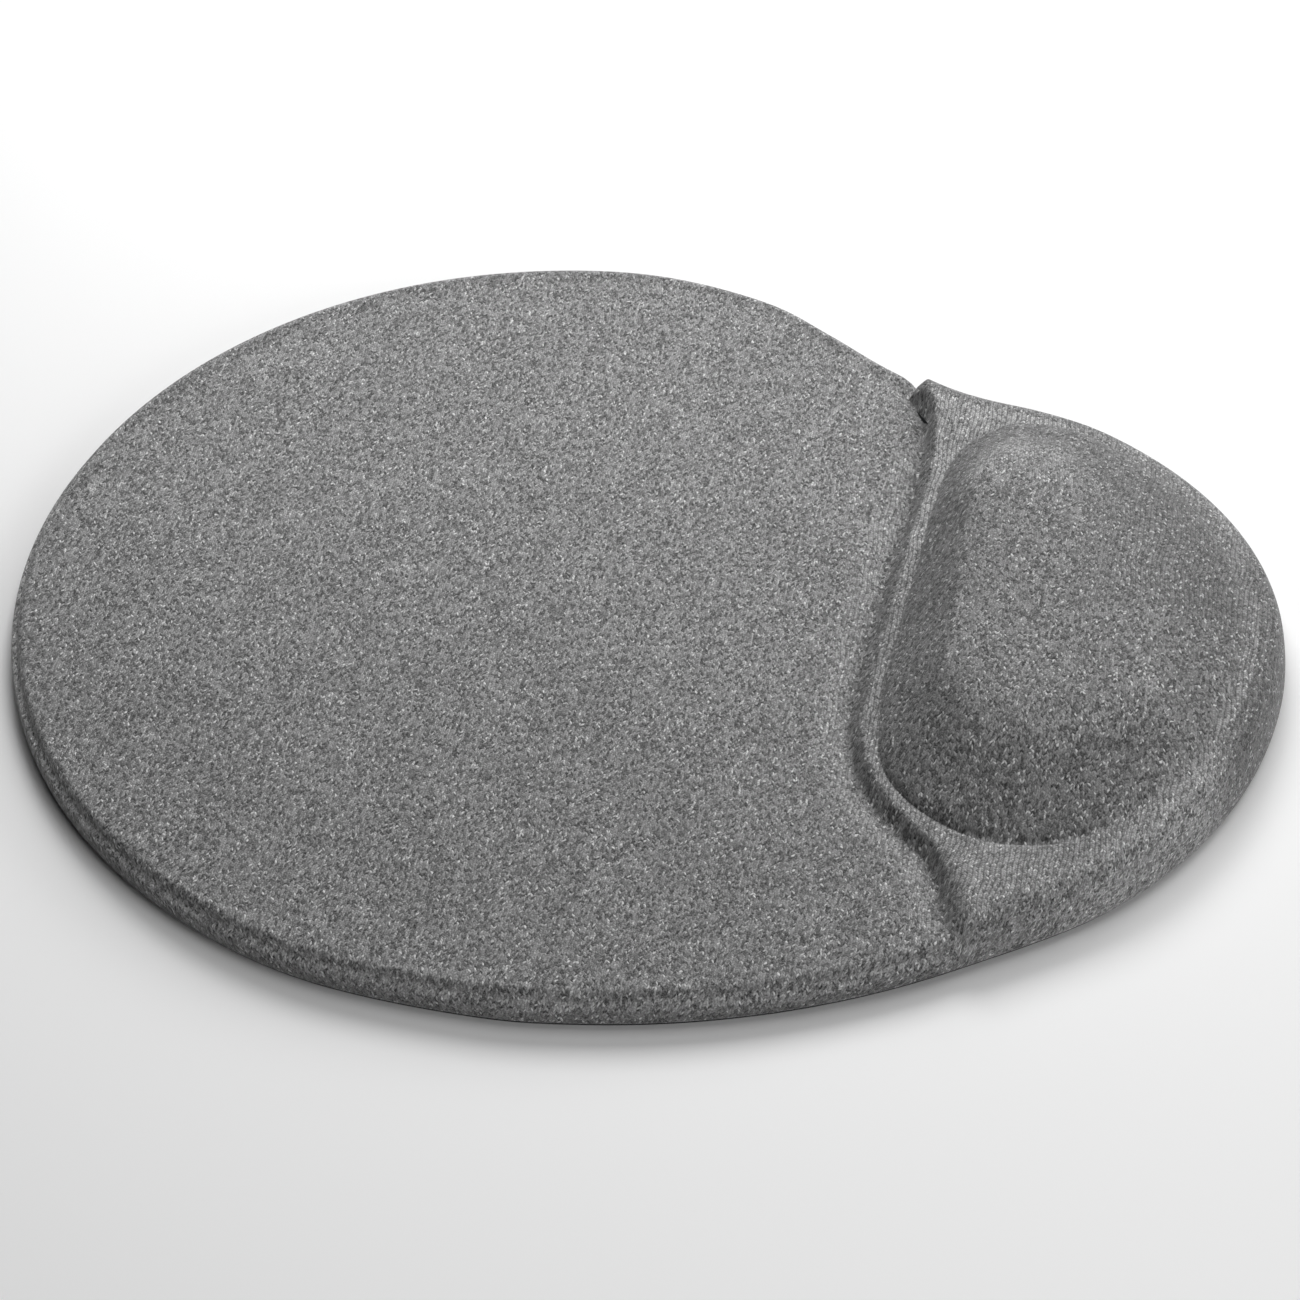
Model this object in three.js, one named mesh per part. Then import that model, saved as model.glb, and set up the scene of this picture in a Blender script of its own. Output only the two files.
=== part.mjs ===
// A mouse pad with a built-in gel wrist rest, right-hand side rest, lying flat.
// Frame: millimetres, +Z up, origin at the middle of the underside, +X towards the wrist rest.
// Every layer is worked out from one plan outline, one groove line and one gel foot line.
import * as THREE from "three";
import { mergeVertices } from "three/addons/utils/BufferGeometryUtils.js";

// ---- Plan, mm -----------------------------------------------------------------------------
const PAD_CENTRE = [-18.5, 0]; // the round mousing area
const PAD_RADIUS = [111.5, 112.4];
const LOBE_CENTRE = [41, 6]; // the wrist lobe: two half ellipses that share their long axis
const LOBE_REACH = 89;
const LOBE_FRONT_DEPTH = 95;
const LOBE_REAR_DEPTH = 75;
const BRIDGE_CENTRE = [-16, 47.6]; // the long front arc that joins the pad to the lobe
const BRIDGE_RADIUS = 160;
const NECK = [[54, 80.8], [38, 88.5], [24, 97.8], [9, 106.6]]; // the shallow waist behind

// The groove between mousing area and wrist rest, from the front wall to the rear wall.
const GROOVE = [
  [73.7, -80.2], [70.9, -72.3], [66.7, -61.8], [57.7, -52.4], [50.6, -42.6], [46.6, -30],
  [45.4, -17], [46.2, 5], [47, 28], [48.3, 48], [48.3, 61], [46.7, 72], [44.2, 82],
];
// The foot of the gel cushion, and the edge of its crowned top.
const GEL_FOOT = [
  [51.5, -20], [51.9, 0], [52.7, 22], [53.9, 46], [57, 60.5], [66, 67.4], [78, 66], [92.3, 57.6],
  [106.6, 44.4], [116.8, 26], [121.2, 4], [118.6, -18], [110, -40], [97.2, -53.4], [81.7, -56.6],
  [66.2, -51.8], [55.2, -40.8],
];
const GEL_TOP = [
  [65, -22], [63.4, 0], [62.6, 22], [62.4, 40], [69, 49], [82, 44.5], [94, 35], [103, 20], [105, -4],
  [104, -24], [92, -31.5], [74, -31.5],
];
const PAD_HUB = [-5, -45]; // rings of the mousing side close on this point
const WRIST_HUB = [80, 16]; // rings of the wrist side close on this point

// ---- Heights, mm --------------------------------------------------------------------------
const PAD_TOP = 8.6;
const GROOVE_FLOOR = 6.8;
const GROOVE_MOUTH = 8.3; // the groove's floor where it comes out through the front wall
const LIP_TOP = 10; // the narrow lip between groove and cushion
const PLATEAU_TOP = 12.1; // the ground in front of and behind the cushion
const SHOULDER_RISE = 2.2; // the wrist rest's far shoulder stands higher than its plateau
const SHOULDER_SLOPE = 0.3; // and goes on rising inwards
const SHOULDER_START = [88, 60]; // X where it begins to rise, at the front and at the rear
const SHOULDER_LENGTH = 26; // over which it rises
const GEL_EDGE_TOP = 21.1;
const GEL_CROWN = 1.5;
const GEL_EDGE_ROUND = 0.25; // how softly the gel's side turns into its top
const PAD_SLOPE = [2.6, 5.6]; // width of the slope into the groove, at the rear and elsewhere
const GROOVE_WALL = 2.2; // width of the groove's far wall, at its bend and its rear end
const GROOVE_WALL_MORE = [1.1, 1.2]; // and how much wider it is in the middle and at the front

// ---- Layers, mm ---------------------------------------------------------------------------
const BASE_THICKNESS = 0.8;
const GAP = 0.25;
const BOND_THICKNESS = 0.5;
const COVER_THICKNESS = 0.6;
const FILM_THICKNESS = 0.35;
const PLATE_THICKNESS = 1.3;
const BASE_INSET = 1.2;
const HEM_WIDTH = 5;
const FLANGE = 1.6; // how far the pouch films reach past the gel's foot
const PLATE_SETBACK = 7; // from the groove line
const PLATE_INSET = 2.5; // from the outline
const PLATE_CLEARANCE = 0.3; // round the plate in its seat

const HEM_FLOOR = BASE_THICKNESS + GAP;
const POCKET_DEPTH_LEFT = 3.2; // foam left under the gel's pocket
const CORE_FLOOR = HEM_FLOOR + BOND_THICKNESS + GAP;
const UNDER_COVER = COVER_THICKNESS + GAP;
const UNDER_TOP_FILM = UNDER_COVER + FILM_THICKNESS + GAP;
const UNDER_BOTTOM_FILM = UNDER_TOP_FILM + FILM_THICKNESS + GAP;
const POCKET_FLOOR = CORE_FLOOR + POCKET_DEPTH_LEFT;

// Side wall of the cover from the hem up, as [inset from the outline, height]. The mousing side
// has a ledge half way up; the wrist side is one round-shouldered wall.
const PAD_WALL = [
  [HEM_WIDTH, HEM_FLOOR], [0.7, HEM_FLOOR], [0, 2.4], [0.1, 5.7], [1.1, 6.2], [1.6, 7.8],
  [2.8, PAD_TOP], [6, PAD_TOP],
];
const WRIST_WALL = [
  [HEM_WIDTH, HEM_FLOOR], [0.7, HEM_FLOOR], [0, 2.4], [0.4, 6.6], [1.2, 9.2], [2.4, 11.2],
  [4, 12], [6, PLATEAU_TOP],
];
const LOWEST_WALL = HEM_FLOOR + 0.6; // the wall never drops below this where the groove meets it
const FIRST_SCALED_RING = 2; // rings from here up follow the height of the top they lead to
const WALL_BLEND = 16; // length of outline over which one wall turns into the other

// ---- Facets -------------------------------------------------------------------------------
const PAD_STEPS = 38;
const WRIST_STEPS = 30;
const GROOVE_STEPS = 20;
const PAD_RINGS = [1.3, 2.7, 4.2, 5.9, 6.9, 7.1, 22];
const LIP_RINGS = [0.28, 0.52, 0.76];
const SIDE_RINGS = [0.12, 0.45, 0.8, 1.05];
const CROWN_RINGS = [0.45];

// ---- Small helpers ------------------------------------------------------------------------
const smooth = (x) => THREE.MathUtils.smoothstep(x, 0, 1);
const mix = (a, b, t) => a + (b - a) * t;
const clamp = THREE.MathUtils.clamp;
const mixPoint = (a, b, t) => [mix(a[0], b[0], t), mix(a[1], b[1], t)];
const distance = (a, b) => Math.hypot(a[0] - b[0], a[1] - b[1]);

// A climb from 0 at x = 0 to nearly 1 at x = 1, straight but for its two rounded corners.
function ramp(x, softness) {
  const climb = (t) => (1 + Math.hypot(t, softness) - Math.hypot(t - 1, softness)) / 2;
  return (climb(Math.max(x, 0)) - climb(0)) / (1 - climb(0));
}

function ellipseArc(centre, radii, fromDegrees, toDegrees, steps) {
  return Array.from({ length: steps + 1 }, (_, i) => {
    const angle = THREE.MathUtils.degToRad(mix(fromDegrees, toDegrees, i / steps));
    return [centre[0] + radii[0] * Math.cos(angle), centre[1] + radii[1] * Math.sin(angle)];
  });
}

function curveThrough(points, closed) {
  const knots = points.map(([x, y]) => new THREE.Vector3(x, y, 0));
  const curve = new THREE.CatmullRomCurve3(knots, closed, "centripetal");
  curve.arcLengthDivisions = 1200;
  return curve;
}

// Points at equal lengths along part of a curve, from one share of its length to another.
function stations(curve, from, to, steps) {
  return Array.from({ length: steps + 1 }, (_, i) => {
    const share = mix(from, to, i / steps);
    const point = curve.getPointAt(((share % 1) + 1) % 1);
    return [point.x, point.y];
  });
}

function distanceToLine(point, line) {
  let nearest = Infinity;
  for (let i = 0; i + 1 < line.length; i++) {
    const [a, b] = [line[i], line[i + 1]];
    const [dx, dy] = [b[0] - a[0], b[1] - a[1]];
    const along = ((point[0] - a[0]) * dx + (point[1] - a[1]) * dy) / (dx * dx + dy * dy);
    nearest = Math.min(nearest, distance(point, mixPoint(a, b, clamp(along, 0, 1))));
  }
  return nearest;
}

// Where the ray from a hub through a point leaves a closed loop round the hub.
function rayToLoop(hub, point, loop) {
  const [rx, ry] = [point[0] - hub[0], point[1] - hub[1]];
  for (let i = 0; i < loop.length; i++) {
    const [a, b] = [loop[i], loop[(i + 1) % loop.length]];
    const [ex, ey] = [b[0] - a[0], b[1] - a[1]];
    const [ax, ay] = [a[0] - hub[0], a[1] - hub[1]];
    const cross = rx * ey - ry * ex;
    const reach = (ax * ey - ay * ex) / cross;
    const along = (ax * ry - ay * rx) / cross;
    if (reach > 0 && along >= 0 && along <= 1) return [hub[0] + rx * reach, hub[1] + ry * reach];
  }
  throw new Error("the hub is not inside the loop");
}

// ---- Plan curves --------------------------------------------------------------------------
const outlineCurve = curveThrough(
  [
    ...ellipseArc(BRIDGE_CENTRE, [BRIDGE_RADIUS, BRIDGE_RADIUS], -88, -54, 5),
    ...ellipseArc(LOBE_CENTRE, [LOBE_REACH, LOBE_FRONT_DEPTH], -48, -12, 3),
    ...ellipseArc(LOBE_CENTRE, [LOBE_REACH, LOBE_REAR_DEPTH], 0, 70, 5),
    ...NECK,
    ...ellipseArc(PAD_CENTRE, PAD_RADIUS, 90, 255, 11),
  ],
  true,
);
const outlineLine = stations(outlineCurve, 0, 1, 300);
const gelFootLoop = stations(curveThrough(GEL_FOOT, true), 0, 1, 160).slice(0, -1).reverse();
const gelTopLoop = stations(curveThrough(GEL_TOP, true), 0, 1, 120).slice(0, -1).reverse();

// The share of the outline's length at which it passes closest to a point.
function shareNearest(point) {
  const samples = 1200;
  const shares = Array.from({ length: samples }, (_, i) => i / samples);
  const gap = (share) => {
    const onCurve = outlineCurve.getPointAt(share);
    return distance([onCurve.x, onCurve.y], point);
  };
  return shares.reduce((best, share) => (gap(share) < gap(best) ? share : best), 0);
}

const frontShare = shareNearest(GROOVE[0]);
const rearShare = shareNearest(GROOVE[GROOVE.length - 1]);

// One outline node: its place, its inward normal, and how much of the wrist side's wall it has.
function outlineNode(share, length) {
  const point = outlineCurve.getPointAt(((share % 1) + 1) % 1);
  const tangent = outlineCurve.getTangentAt(((share % 1) + 1) % 1);
  const fromFront = (share - frontShare) * length;
  const toRear = (rearShare - share) * length;
  const wrist = smooth(0.5 + Math.min(fromFront, toRear) / WALL_BLEND);
  return { place: [point.x, point.y], inward: [-tangent.y, tangent.x], wrist };
}

function outlineNodes(from, to, steps) {
  const length = outlineCurve.getLength();
  return Array.from({ length: steps + 1 }, (_, i) => outlineNode(mix(from, to, i / steps), length));
}

const wristOutline = outlineNodes(frontShare, rearShare, WRIST_STEPS);
const padOutline = outlineNodes(rearShare, frontShare + 1, PAD_STEPS);
padOutline[0].wrist = padOutline[PAD_STEPS].wrist = 0.5;

// A place on the outline's node moved in by an inset, or out by a negative one.
const insetPlace = ({ place, inward }, inset) => [
  place[0] + inward[0] * inset,
  place[1] + inward[1] * inset,
];

// The groove runs straight through the side wall at both its ends, which it bends to meet.
const GROOVE_BEND = 6;
const wallInset = PAD_WALL[PAD_WALL.length - 1][0];
const [frontEnd, rearEnd] = [wristOutline[0], wristOutline[WRIST_STEPS]];
const [grooveFront, grooveRear] = [insetPlace(frontEnd, wallInset), insetPlace(rearEnd, wallInset)];
const openGroove = stations(curveThrough(GROOVE, false), 0, 0.99999, 120).filter(
  (p) => p[1] > grooveFront[1] + GROOVE_BEND && p[1] < grooveRear[1] - GROOVE_BEND,
);
const grooveCurve = curveThrough([grooveFront, ...openGroove, grooveRear], false);
const lastStep = 1 - 1 / GROOVE_STEPS;
const grooveNodes = [...stations(grooveCurve, 0, lastStep, GROOVE_STEPS - 1), grooveRear];
const grooveLine = [
  insetPlace(frontEnd, -wallInset), grooveFront, ...openGroove,
  grooveRear, insetPlace(rearEnd, -wallInset),
];

// ---- Height of the cover's outer face ------------------------------------------------------
// Distance in plan from the narrow flat bottom of the groove.
const grooveDistance = (point) => Math.max(distanceToLine(point, grooveLine) - 0.05, 0);
const outlineDistance = (point) => distanceToLine(point, outlineLine);

function grooveFloor(point) {
  const mouth = mix(GROOVE_MOUTH, GROOVE_FLOOR, smooth(point[1] / 40));
  return mix(mouth, GROOVE_FLOOR, smooth((outlineDistance(point) - 2) / 8));
}

function padHeight(point) {
  const width = mix(PAD_SLOPE[0], PAD_SLOPE[1], smooth((54 - point[1]) / 12));
  return mix(grooveFloor(point), PAD_TOP, ramp(grooveDistance(point) / width, 0.16));
}

// The ground that the cushion stands on: lip, plateau and far shoulder.
function shoulderHeight(point) {
  const [x, y] = point;
  const inset = outlineDistance(point);
  const near = mix(PLATEAU_TOP, LIP_TOP, smooth((inset - 8) / 16));
  const start = mix(SHOULDER_START[0], SHOULDER_START[1], smooth((y + 10) / 50));
  const far = PLATEAU_TOP + SHOULDER_RISE + SHOULDER_SLOPE * clamp(inset - 5, -1, 6);
  return mix(near, far, smooth((x - start) / SHOULDER_LENGTH));
}

function plateauHeight(point) {
  const middle = smooth((point[1] + 31) / 14) * smooth((58 - point[1]) / 14);
  const front = smooth((-60 - point[1]) / 10);
  const width = GROOVE_WALL + GROOVE_WALL_MORE[0] * middle + GROOVE_WALL_MORE[1] * front;
  const climb = ramp(grooveDistance(point) / width, 0.12);
  return mix(grooveFloor(point), shoulderHeight(point), climb);
}

// The gel's side climbs in a straight line from its foot and rounds over at its top edge.
function gelHeight(point, climb, crown) {
  const rounded = (climb + 1 - Math.hypot(climb - 1, GEL_EDGE_ROUND)) / 2;
  const atFoot = (1 - Math.hypot(1, GEL_EDGE_ROUND)) / 2;
  const share = (rounded - atFoot) / (1 - atFoot);
  return mix(shoulderHeight(point), GEL_EDGE_TOP, share) + GEL_CROWN * crown;
}

// ---- Columns of points ----------------------------------------------------------------------
// A column runs from the cover's hem over the wall to a hub. Each point has a place, the outer
// face's height there, and the direction in which a deeper layer lies.
function wallColumn(node, heightAt) {
  const profile = PAD_WALL.map((low, i) => mixPoint(low, WRIST_WALL[i], node.wrist));
  const tops = [PAD_TOP, PLATEAU_TOP];
  return profile.map(([inset, z], i) => {
    const before = profile[Math.max(i - 1, 0)];
    const after = profile[Math.min(i + 1, profile.length - 1)];
    const run = Math.hypot(after[0] - before[0], after[1] - before[1]);
    const place = insetPlace(node, inset);
    const scale = heightAt(place) / mix(tops[0], tops[1], node.wrist);
    const height = i < FIRST_SCALED_RING ? z : Math.max(z * scale, LOWEST_WALL);
    const slide = (after[1] - before[1]) / run;
    return {
      place,
      height,
      ring: i,
      inward: [node.inward[0] * slide, node.inward[1] * slide],
      sink: (after[0] - before[0]) / run,
    };
  });
}

const topPoint = (place, height, ring, extra) => ({
  place, height, ring, inward: [0, 0], sink: 1, ...extra,
});

// The place on the way to the hub that lies a step clear of the groove line.
function stepFromGroove(edge, step) {
  let share = 0;
  while (distanceToLine(mixPoint(edge, PAD_HUB, share), grooveLine) < step) share += 0.001;
  return mixPoint(edge, PAD_HUB, share);
}

function padColumn(edge, onGroove) {
  const length = distance(edge, PAD_HUB);
  return PAD_RINGS.map((step, i) => {
    const place = onGroove ? stepFromGroove(edge, step) : mixPoint(edge, PAD_HUB, step / length);
    return topPoint(place, padHeight(place), PAD_WALL.length + i);
  });
}

function wristColumn(edge) {
  const foot = rayToLoop(WRIST_HUB, edge, gelFootLoop);
  const top = rayToLoop(WRIST_HUB, edge, gelTopLoop);
  const reach = distance(edge, foot);
  const flangeShare = 1 - Math.min(FLANGE, reach * 0.55) / reach;
  const lip = [...LIP_RINGS.map((share) => share * flangeShare), flangeShare].map((share) => {
    const place = mixPoint(edge, foot, share);
    return { place, height: plateauHeight(place), kind: "lip" };
  });
  const side = [0, ...SIDE_RINGS].map((climb) => {
    const place = mixPoint(foot, top, climb);
    return { place, height: gelHeight(place, climb, 0), kind: "gel" };
  });
  const rim = side[side.length - 1].place;
  const crown = CROWN_RINGS.map((share) => {
    const place = mixPoint(rim, WRIST_HUB, share);
    return { place, height: gelHeight(place, 2, 1 - (1 - share) ** 2), kind: "gel" };
  });
  return [...lip, ...side, ...crown].map((p, i) =>
    topPoint(p.place, p.height, PAD_WALL.length + i, { kind: p.kind }),
  );
}

const lastOf = (column) => column[column.length - 1];

// A groove node's wall points all fall on the node, so that every column has the same rings.
const grooveColumn = (place) =>
  PAD_WALL.map((_, ring) => topPoint(place, grooveFloor(place), ring, { shared: true }));

function columnsOf(side) {
  const outline = side === "pad" ? padOutline : wristOutline;
  const heightAt = side === "pad" ? padHeight : plateauHeight;
  const inner = side === "pad" ? padColumn : wristColumn;
  const groove = side === "pad" ? grooveNodes : [...grooveNodes].reverse();
  const walls = outline.map((node) => wallColumn(node, heightAt));
  for (const point of [...walls[0], ...lastOf(walls)]) point.shared = true;
  const banks = groove.map(grooveColumn);
  return [...walls, ...banks].map((wall) => {
    const edge = lastOf(wall);
    return [...wall, ...inner(edge.place, edge.shared)];
  });
}

const HUBS = {
  pad: topPoint(PAD_HUB, PAD_TOP, 99),
  wrist: topPoint(WRIST_HUB, gelHeight(WRIST_HUB, 2, 1), 99, { kind: "gel" }),
};
const columns = { pad: columnsOf("pad"), wrist: columnsOf("wrist") };

// ---- Layers as point grids ------------------------------------------------------------------
// A point of the layer that lies a depth below the cover's outer face.
function sunk(point, depth) {
  return [
    point.place[0] + point.inward[0] * depth,
    point.place[1] + point.inward[1] * depth,
    point.height - point.sink * depth,
  ];
}

// Triangles between neighbouring columns of points, and a fan that closes them on a hub.
function skin(grid, hub, closed) {
  const triangles = [];
  const last = closed ? grid.length : grid.length - 1;
  for (let i = 0; i < last; i++) {
    const [near, far] = [grid[i], grid[(i + 1) % grid.length]];
    for (let k = 0; k + 1 < near.length; k++) {
      triangles.push([near[k], far[k], far[k + 1]], [near[k], far[k + 1], near[k + 1]]);
    }
    if (hub) triangles.push([lastOf(near), lastOf(far), hub]);
  }
  return triangles;
}

const flipped = (triangles) => triangles.map(([a, b, c]) => [a, c, b]);
const wallBetween = (upper, lower) =>
  upper.flatMap((a, i) => {
    const next = (i + 1) % upper.length;
    return [[a, lower[i], lower[next]], [a, lower[next], upper[next]]];
  });

// A closed body between an upper and a lower grid of the same shape.
function slab(upper, upperHub, lower, lowerHub) {
  const edge = (grid) => grid.map((column) => column[0]);
  return [
    ...skin(upper, upperHub, true),
    ...flipped(skin(lower, lowerHub, true)),
    ...wallBetween(edge(upper), edge(lower)),
  ];
}

// A closed body with a flat underside.
function block(upper, hub, floor) {
  const edge = upper.map((column) => column[0]);
  const sole = edge.map(([x, y]) => [x, y, floor]);
  const soleHub = [hub[0], hub[1], floor];
  return [
    ...skin(upper, hub, true),
    ...flipped(skin(sole.map((p) => [p]), soleHub, true)),
    ...wallBetween(edge, sole),
  ];
}

// A level sheet of the outline's shape.
function levelSheet(inset, floor, thickness) {
  const nodes = [...wristOutline.slice(0, -1), ...padOutline.slice(0, -1)];
  const ring = (z) => nodes.map((node) => [[...insetPlace(node, inset), z]]);
  const hub = (z) => [PAD_HUB[0] + 40, PAD_HUB[1], z];
  const roof = floor + thickness;
  return slab(ring(roof), hub(roof), ring(floor), hub(floor));
}

function geometryOf(triangles) {
  const soup = new THREE.BufferGeometry();
  soup.setAttribute("position", new THREE.Float32BufferAttribute(triangles.flat(2), 3));
  const merged = mergeVertices(soup, 1e-3);
  const corners = merged.index.array;
  const kept = [];
  for (let i = 0; i < corners.length; i += 3) {
    const [a, b, c] = [corners[i], corners[i + 1], corners[i + 2]];
    if (a !== b && b !== c && a !== c) kept.push(a, b, c);
  }
  merged.setIndex(kept);
  merged.computeVertexNormals();
  return merged;
}

// Keep a core's edge clear of the groove line, on its own side of it.
function setBack(point, hub, amount) {
  const away = amount / Math.hypot(hub[0] - point[0], hub[1] - point[1]);
  return [mix(point[0], hub[0], away), mix(point[1], hub[1], away), point[2]];
}

// ---- The pieces -----------------------------------------------------------------------------
function fabricCover() {
  const faceAt = (depth) => {
    const shell = (side) => columns[side].map((column) => column.map((p) => sunk(p, depth)));
    const wallRings = PAD_WALL.length;
    const walls = ["wrist", "pad"].flatMap((side) => {
      const steps = side === "pad" ? PAD_STEPS : WRIST_STEPS;
      const wall = shell(side).slice(0, steps + 1).map((column) => column.slice(0, wallRings));
      return skin(wall, null, false);
    });
    const tops = ["wrist", "pad"].flatMap((side) =>
      skin(shell(side).map((column) => column.slice(wallRings - 1)), sunk(HUBS[side], depth), true),
    );
    const hem = ["wrist", "pad"].flatMap((side) => {
      const steps = side === "pad" ? PAD_STEPS : WRIST_STEPS;
      return shell(side).slice(0, steps).map((column) => column[0]);
    });
    return { faces: [...walls, ...tops], hem };
  };
  const outer = faceAt(0);
  const inner = faceAt(COVER_THICKNESS);
  return [...outer.faces, ...flipped(inner.faces), ...wallBetween(outer.hem, inner.hem)];
}

const CORE_RINGS_FROM = 2; // a core starts above the hem
const coreEdge = (point) => Math.max(point[2], CORE_FLOOR + 0.4);

function coreGrid(side, depthAt) {
  return columns[side].map((column) =>
    column.slice(CORE_RINGS_FROM).map((p) => {
      const point = sunk(p, depthAt(p));
      const clear = p.shared ? setBack(point, HUBS[side].place, 2 * GAP) : point;
      return [clear[0], clear[1], coreEdge(clear)];
    }),
  );
}

const PLATE_ROOF = PAD_TOP - UNDER_COVER;
const PLATE_SEAT = PLATE_ROOF - PLATE_THICKNESS - GAP;

// The first ring of each mousing column that lies in the plate's seat.
const seatRings = columns.pad.map((column) =>
  column.findIndex(
    (p, ring) =>
      distanceToLine(p.place, grooveLine) >= PLATE_SETBACK &&
      (ring >= PAD_WALL.length || PAD_WALL[ring][0] > PLATE_INSET) &&
      ring >= CORE_RINGS_FROM,
  ),
);

function padFoam() {
  const upper = coreGrid("pad", () => UNDER_COVER).map((column, i) =>
    column.map((point, k) => {
      const inSeat = k + CORE_RINGS_FROM >= seatRings[i];
      return inSeat ? [point[0], point[1], PLATE_SEAT] : point;
    }),
  );
  return block(upper, [...PAD_HUB, PLATE_SEAT], CORE_FLOOR);
}

function trackingPlate() {
  const roof = columns.pad.map((column, i) => {
    const beside = [-1, 0, 1].map((j) => seatRings[(i + j + seatRings.length) % seatRings.length]);
    const place = sunk(column[Math.max(...beside)], UNDER_COVER).slice(0, 2);
    return [setBack([...place, PLATE_ROOF], PAD_HUB, PLATE_CLEARANCE)];
  });
  return block(roof, [...PAD_HUB, PLATE_ROOF], PLATE_ROOF - PLATE_THICKNESS);
}

const isPocket = (p, ring) => p.kind === "gel" && ring >= PAD_WALL.length + LIP_RINGS.length + 2;

// The rings that the pouch covers: its flange, then the gel from the foot inwards.
const flangeRing = PAD_WALL.length + LIP_RINGS.length;

function wristCarrier() {
  const upper = coreGrid("wrist", () => UNDER_COVER).map((column, i) =>
    column.map((point, k) => {
      const ring = k + CORE_RINGS_FROM;
      const source = columns.wrist[i][ring];
      if (isPocket(source, ring)) return [point[0], point[1], POCKET_FLOOR];
      if (ring >= flangeRing) return [point[0], point[1], sunk(source, UNDER_BOTTOM_FILM)[2]];
      return point;
    }),
  );
  return block(upper, [...WRIST_HUB, POCKET_FLOOR], CORE_FLOOR);
}

// The pouch's columns, with its outer edge kept clear of the recess that the flange lies in.
const pouchColumns = columns.wrist.map((column) => {
  const [edge, ...inner] = column.slice(flangeRing);
  const place = setBack([...edge.place, 0], WRIST_HUB, GAP).slice(0, 2);
  return [{ ...edge, place }, ...inner];
});

function gelPouchTopFilm() {
  const face = (depth) => pouchColumns.map((column) => column.map((p) => sunk(p, depth)));
  const hub = (depth) => sunk(HUBS.wrist, depth);
  const under = UNDER_COVER + FILM_THICKNESS;
  return slab(face(UNDER_COVER), hub(UNDER_COVER), face(under), hub(under));
}

function gelCore() {
  const upper = columns.wrist.map((column) =>
    column.slice(flangeRing + 2).map((p) => sunk(p, UNDER_TOP_FILM)),
  );
  return block(upper, sunk(HUBS.wrist, UNDER_TOP_FILM), POCKET_FLOOR + FILM_THICKNESS + 2 * GAP);
}

function gelPouchBottomFilm() {
  const face = (lift, depth) =>
    pouchColumns.map((column) =>
      column.map((p, k) =>
        isPocket(p, k + flangeRing) ? [...p.place, POCKET_FLOOR + lift] : sunk(p, depth),
      ),
    );
  const hub = (lift) => [...WRIST_HUB, POCKET_FLOOR + lift];
  return slab(
    face(GAP + FILM_THICKNESS, UNDER_TOP_FILM), hub(GAP + FILM_THICKNESS),
    face(GAP, UNDER_TOP_FILM + FILM_THICKNESS), hub(GAP),
  );
}

const baseSheet = () => levelSheet(BASE_INSET, 0, BASE_THICKNESS);
const bondingFilm = () => levelSheet(HEM_WIDTH + 1, HEM_FLOOR, BOND_THICKNESS);

// ---- Assembly -------------------------------------------------------------------------------
const finish = (color, roughness) =>
  new THREE.MeshStandardMaterial({ color, roughness, metalness: 0 });

const fabric = finish(0x7a7a7a, 0.95);
const foam = finish(0x3c3d3f, 0.9);
const plate = finish(0x2a2b2d, 0.55);
const film = finish(0xcfd3d6, 0.25);
const gel = finish(0x9fb4c4, 0.15);
const rubber = finish(0x1c1c1d, 0.8);

const pieces = [
  ["fabric_cover", fabricCover, fabric],
  ["tracking_plate", trackingPlate, plate],
  ["pad_foam", padFoam, foam],
  ["wrist_carrier", wristCarrier, foam],
  ["gel_pouch_top_film", gelPouchTopFilm, film],
  ["gel_core", gelCore, gel],
  ["gel_pouch_bottom_film", gelPouchBottomFilm, film],
  ["bonding_film", bondingFilm, film],
  ["base_sheet", baseSheet, rubber],
];

const mousePad = new THREE.Group();
for (const [name, build, material] of pieces) {
  const mesh = new THREE.Mesh(geometryOf(build()), material);
  mesh.name = name;
  mousePad.add(mesh);
}

export default mousePad;
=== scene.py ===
"""A mouse pad with a built-in gel wrist rest: the looks of its cover, cushion, cores and base.

Lengths in the plan and the profiles are millimetres. Meshes are metres, in the frame of the
solid model: origin in the middle of the underside, +X towards the wrist rest, +Z up.
"""

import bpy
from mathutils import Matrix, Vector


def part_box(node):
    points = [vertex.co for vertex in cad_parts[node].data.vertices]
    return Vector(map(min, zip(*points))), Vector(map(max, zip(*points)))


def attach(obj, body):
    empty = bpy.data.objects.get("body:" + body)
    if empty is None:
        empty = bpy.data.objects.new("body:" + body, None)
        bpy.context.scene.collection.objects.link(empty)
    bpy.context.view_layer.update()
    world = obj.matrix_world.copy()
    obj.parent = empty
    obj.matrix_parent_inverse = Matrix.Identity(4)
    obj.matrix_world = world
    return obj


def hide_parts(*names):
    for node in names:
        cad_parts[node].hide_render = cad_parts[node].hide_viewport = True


bl_info = {
    "name": "Mouse Pad With Wrist Rest",
    "version": (1, 0, 0),
    "blender": (4, 5, 0),
    "location": "3D View > Sidebar > Mouse Pad",
    "description": "Builds a mouse pad's stretched knit cover, gel cushion, foam cores and base",
    "category": "Object",
}

import math

import bmesh
import bpy
import numpy as np
from mathutils import Vector

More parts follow.
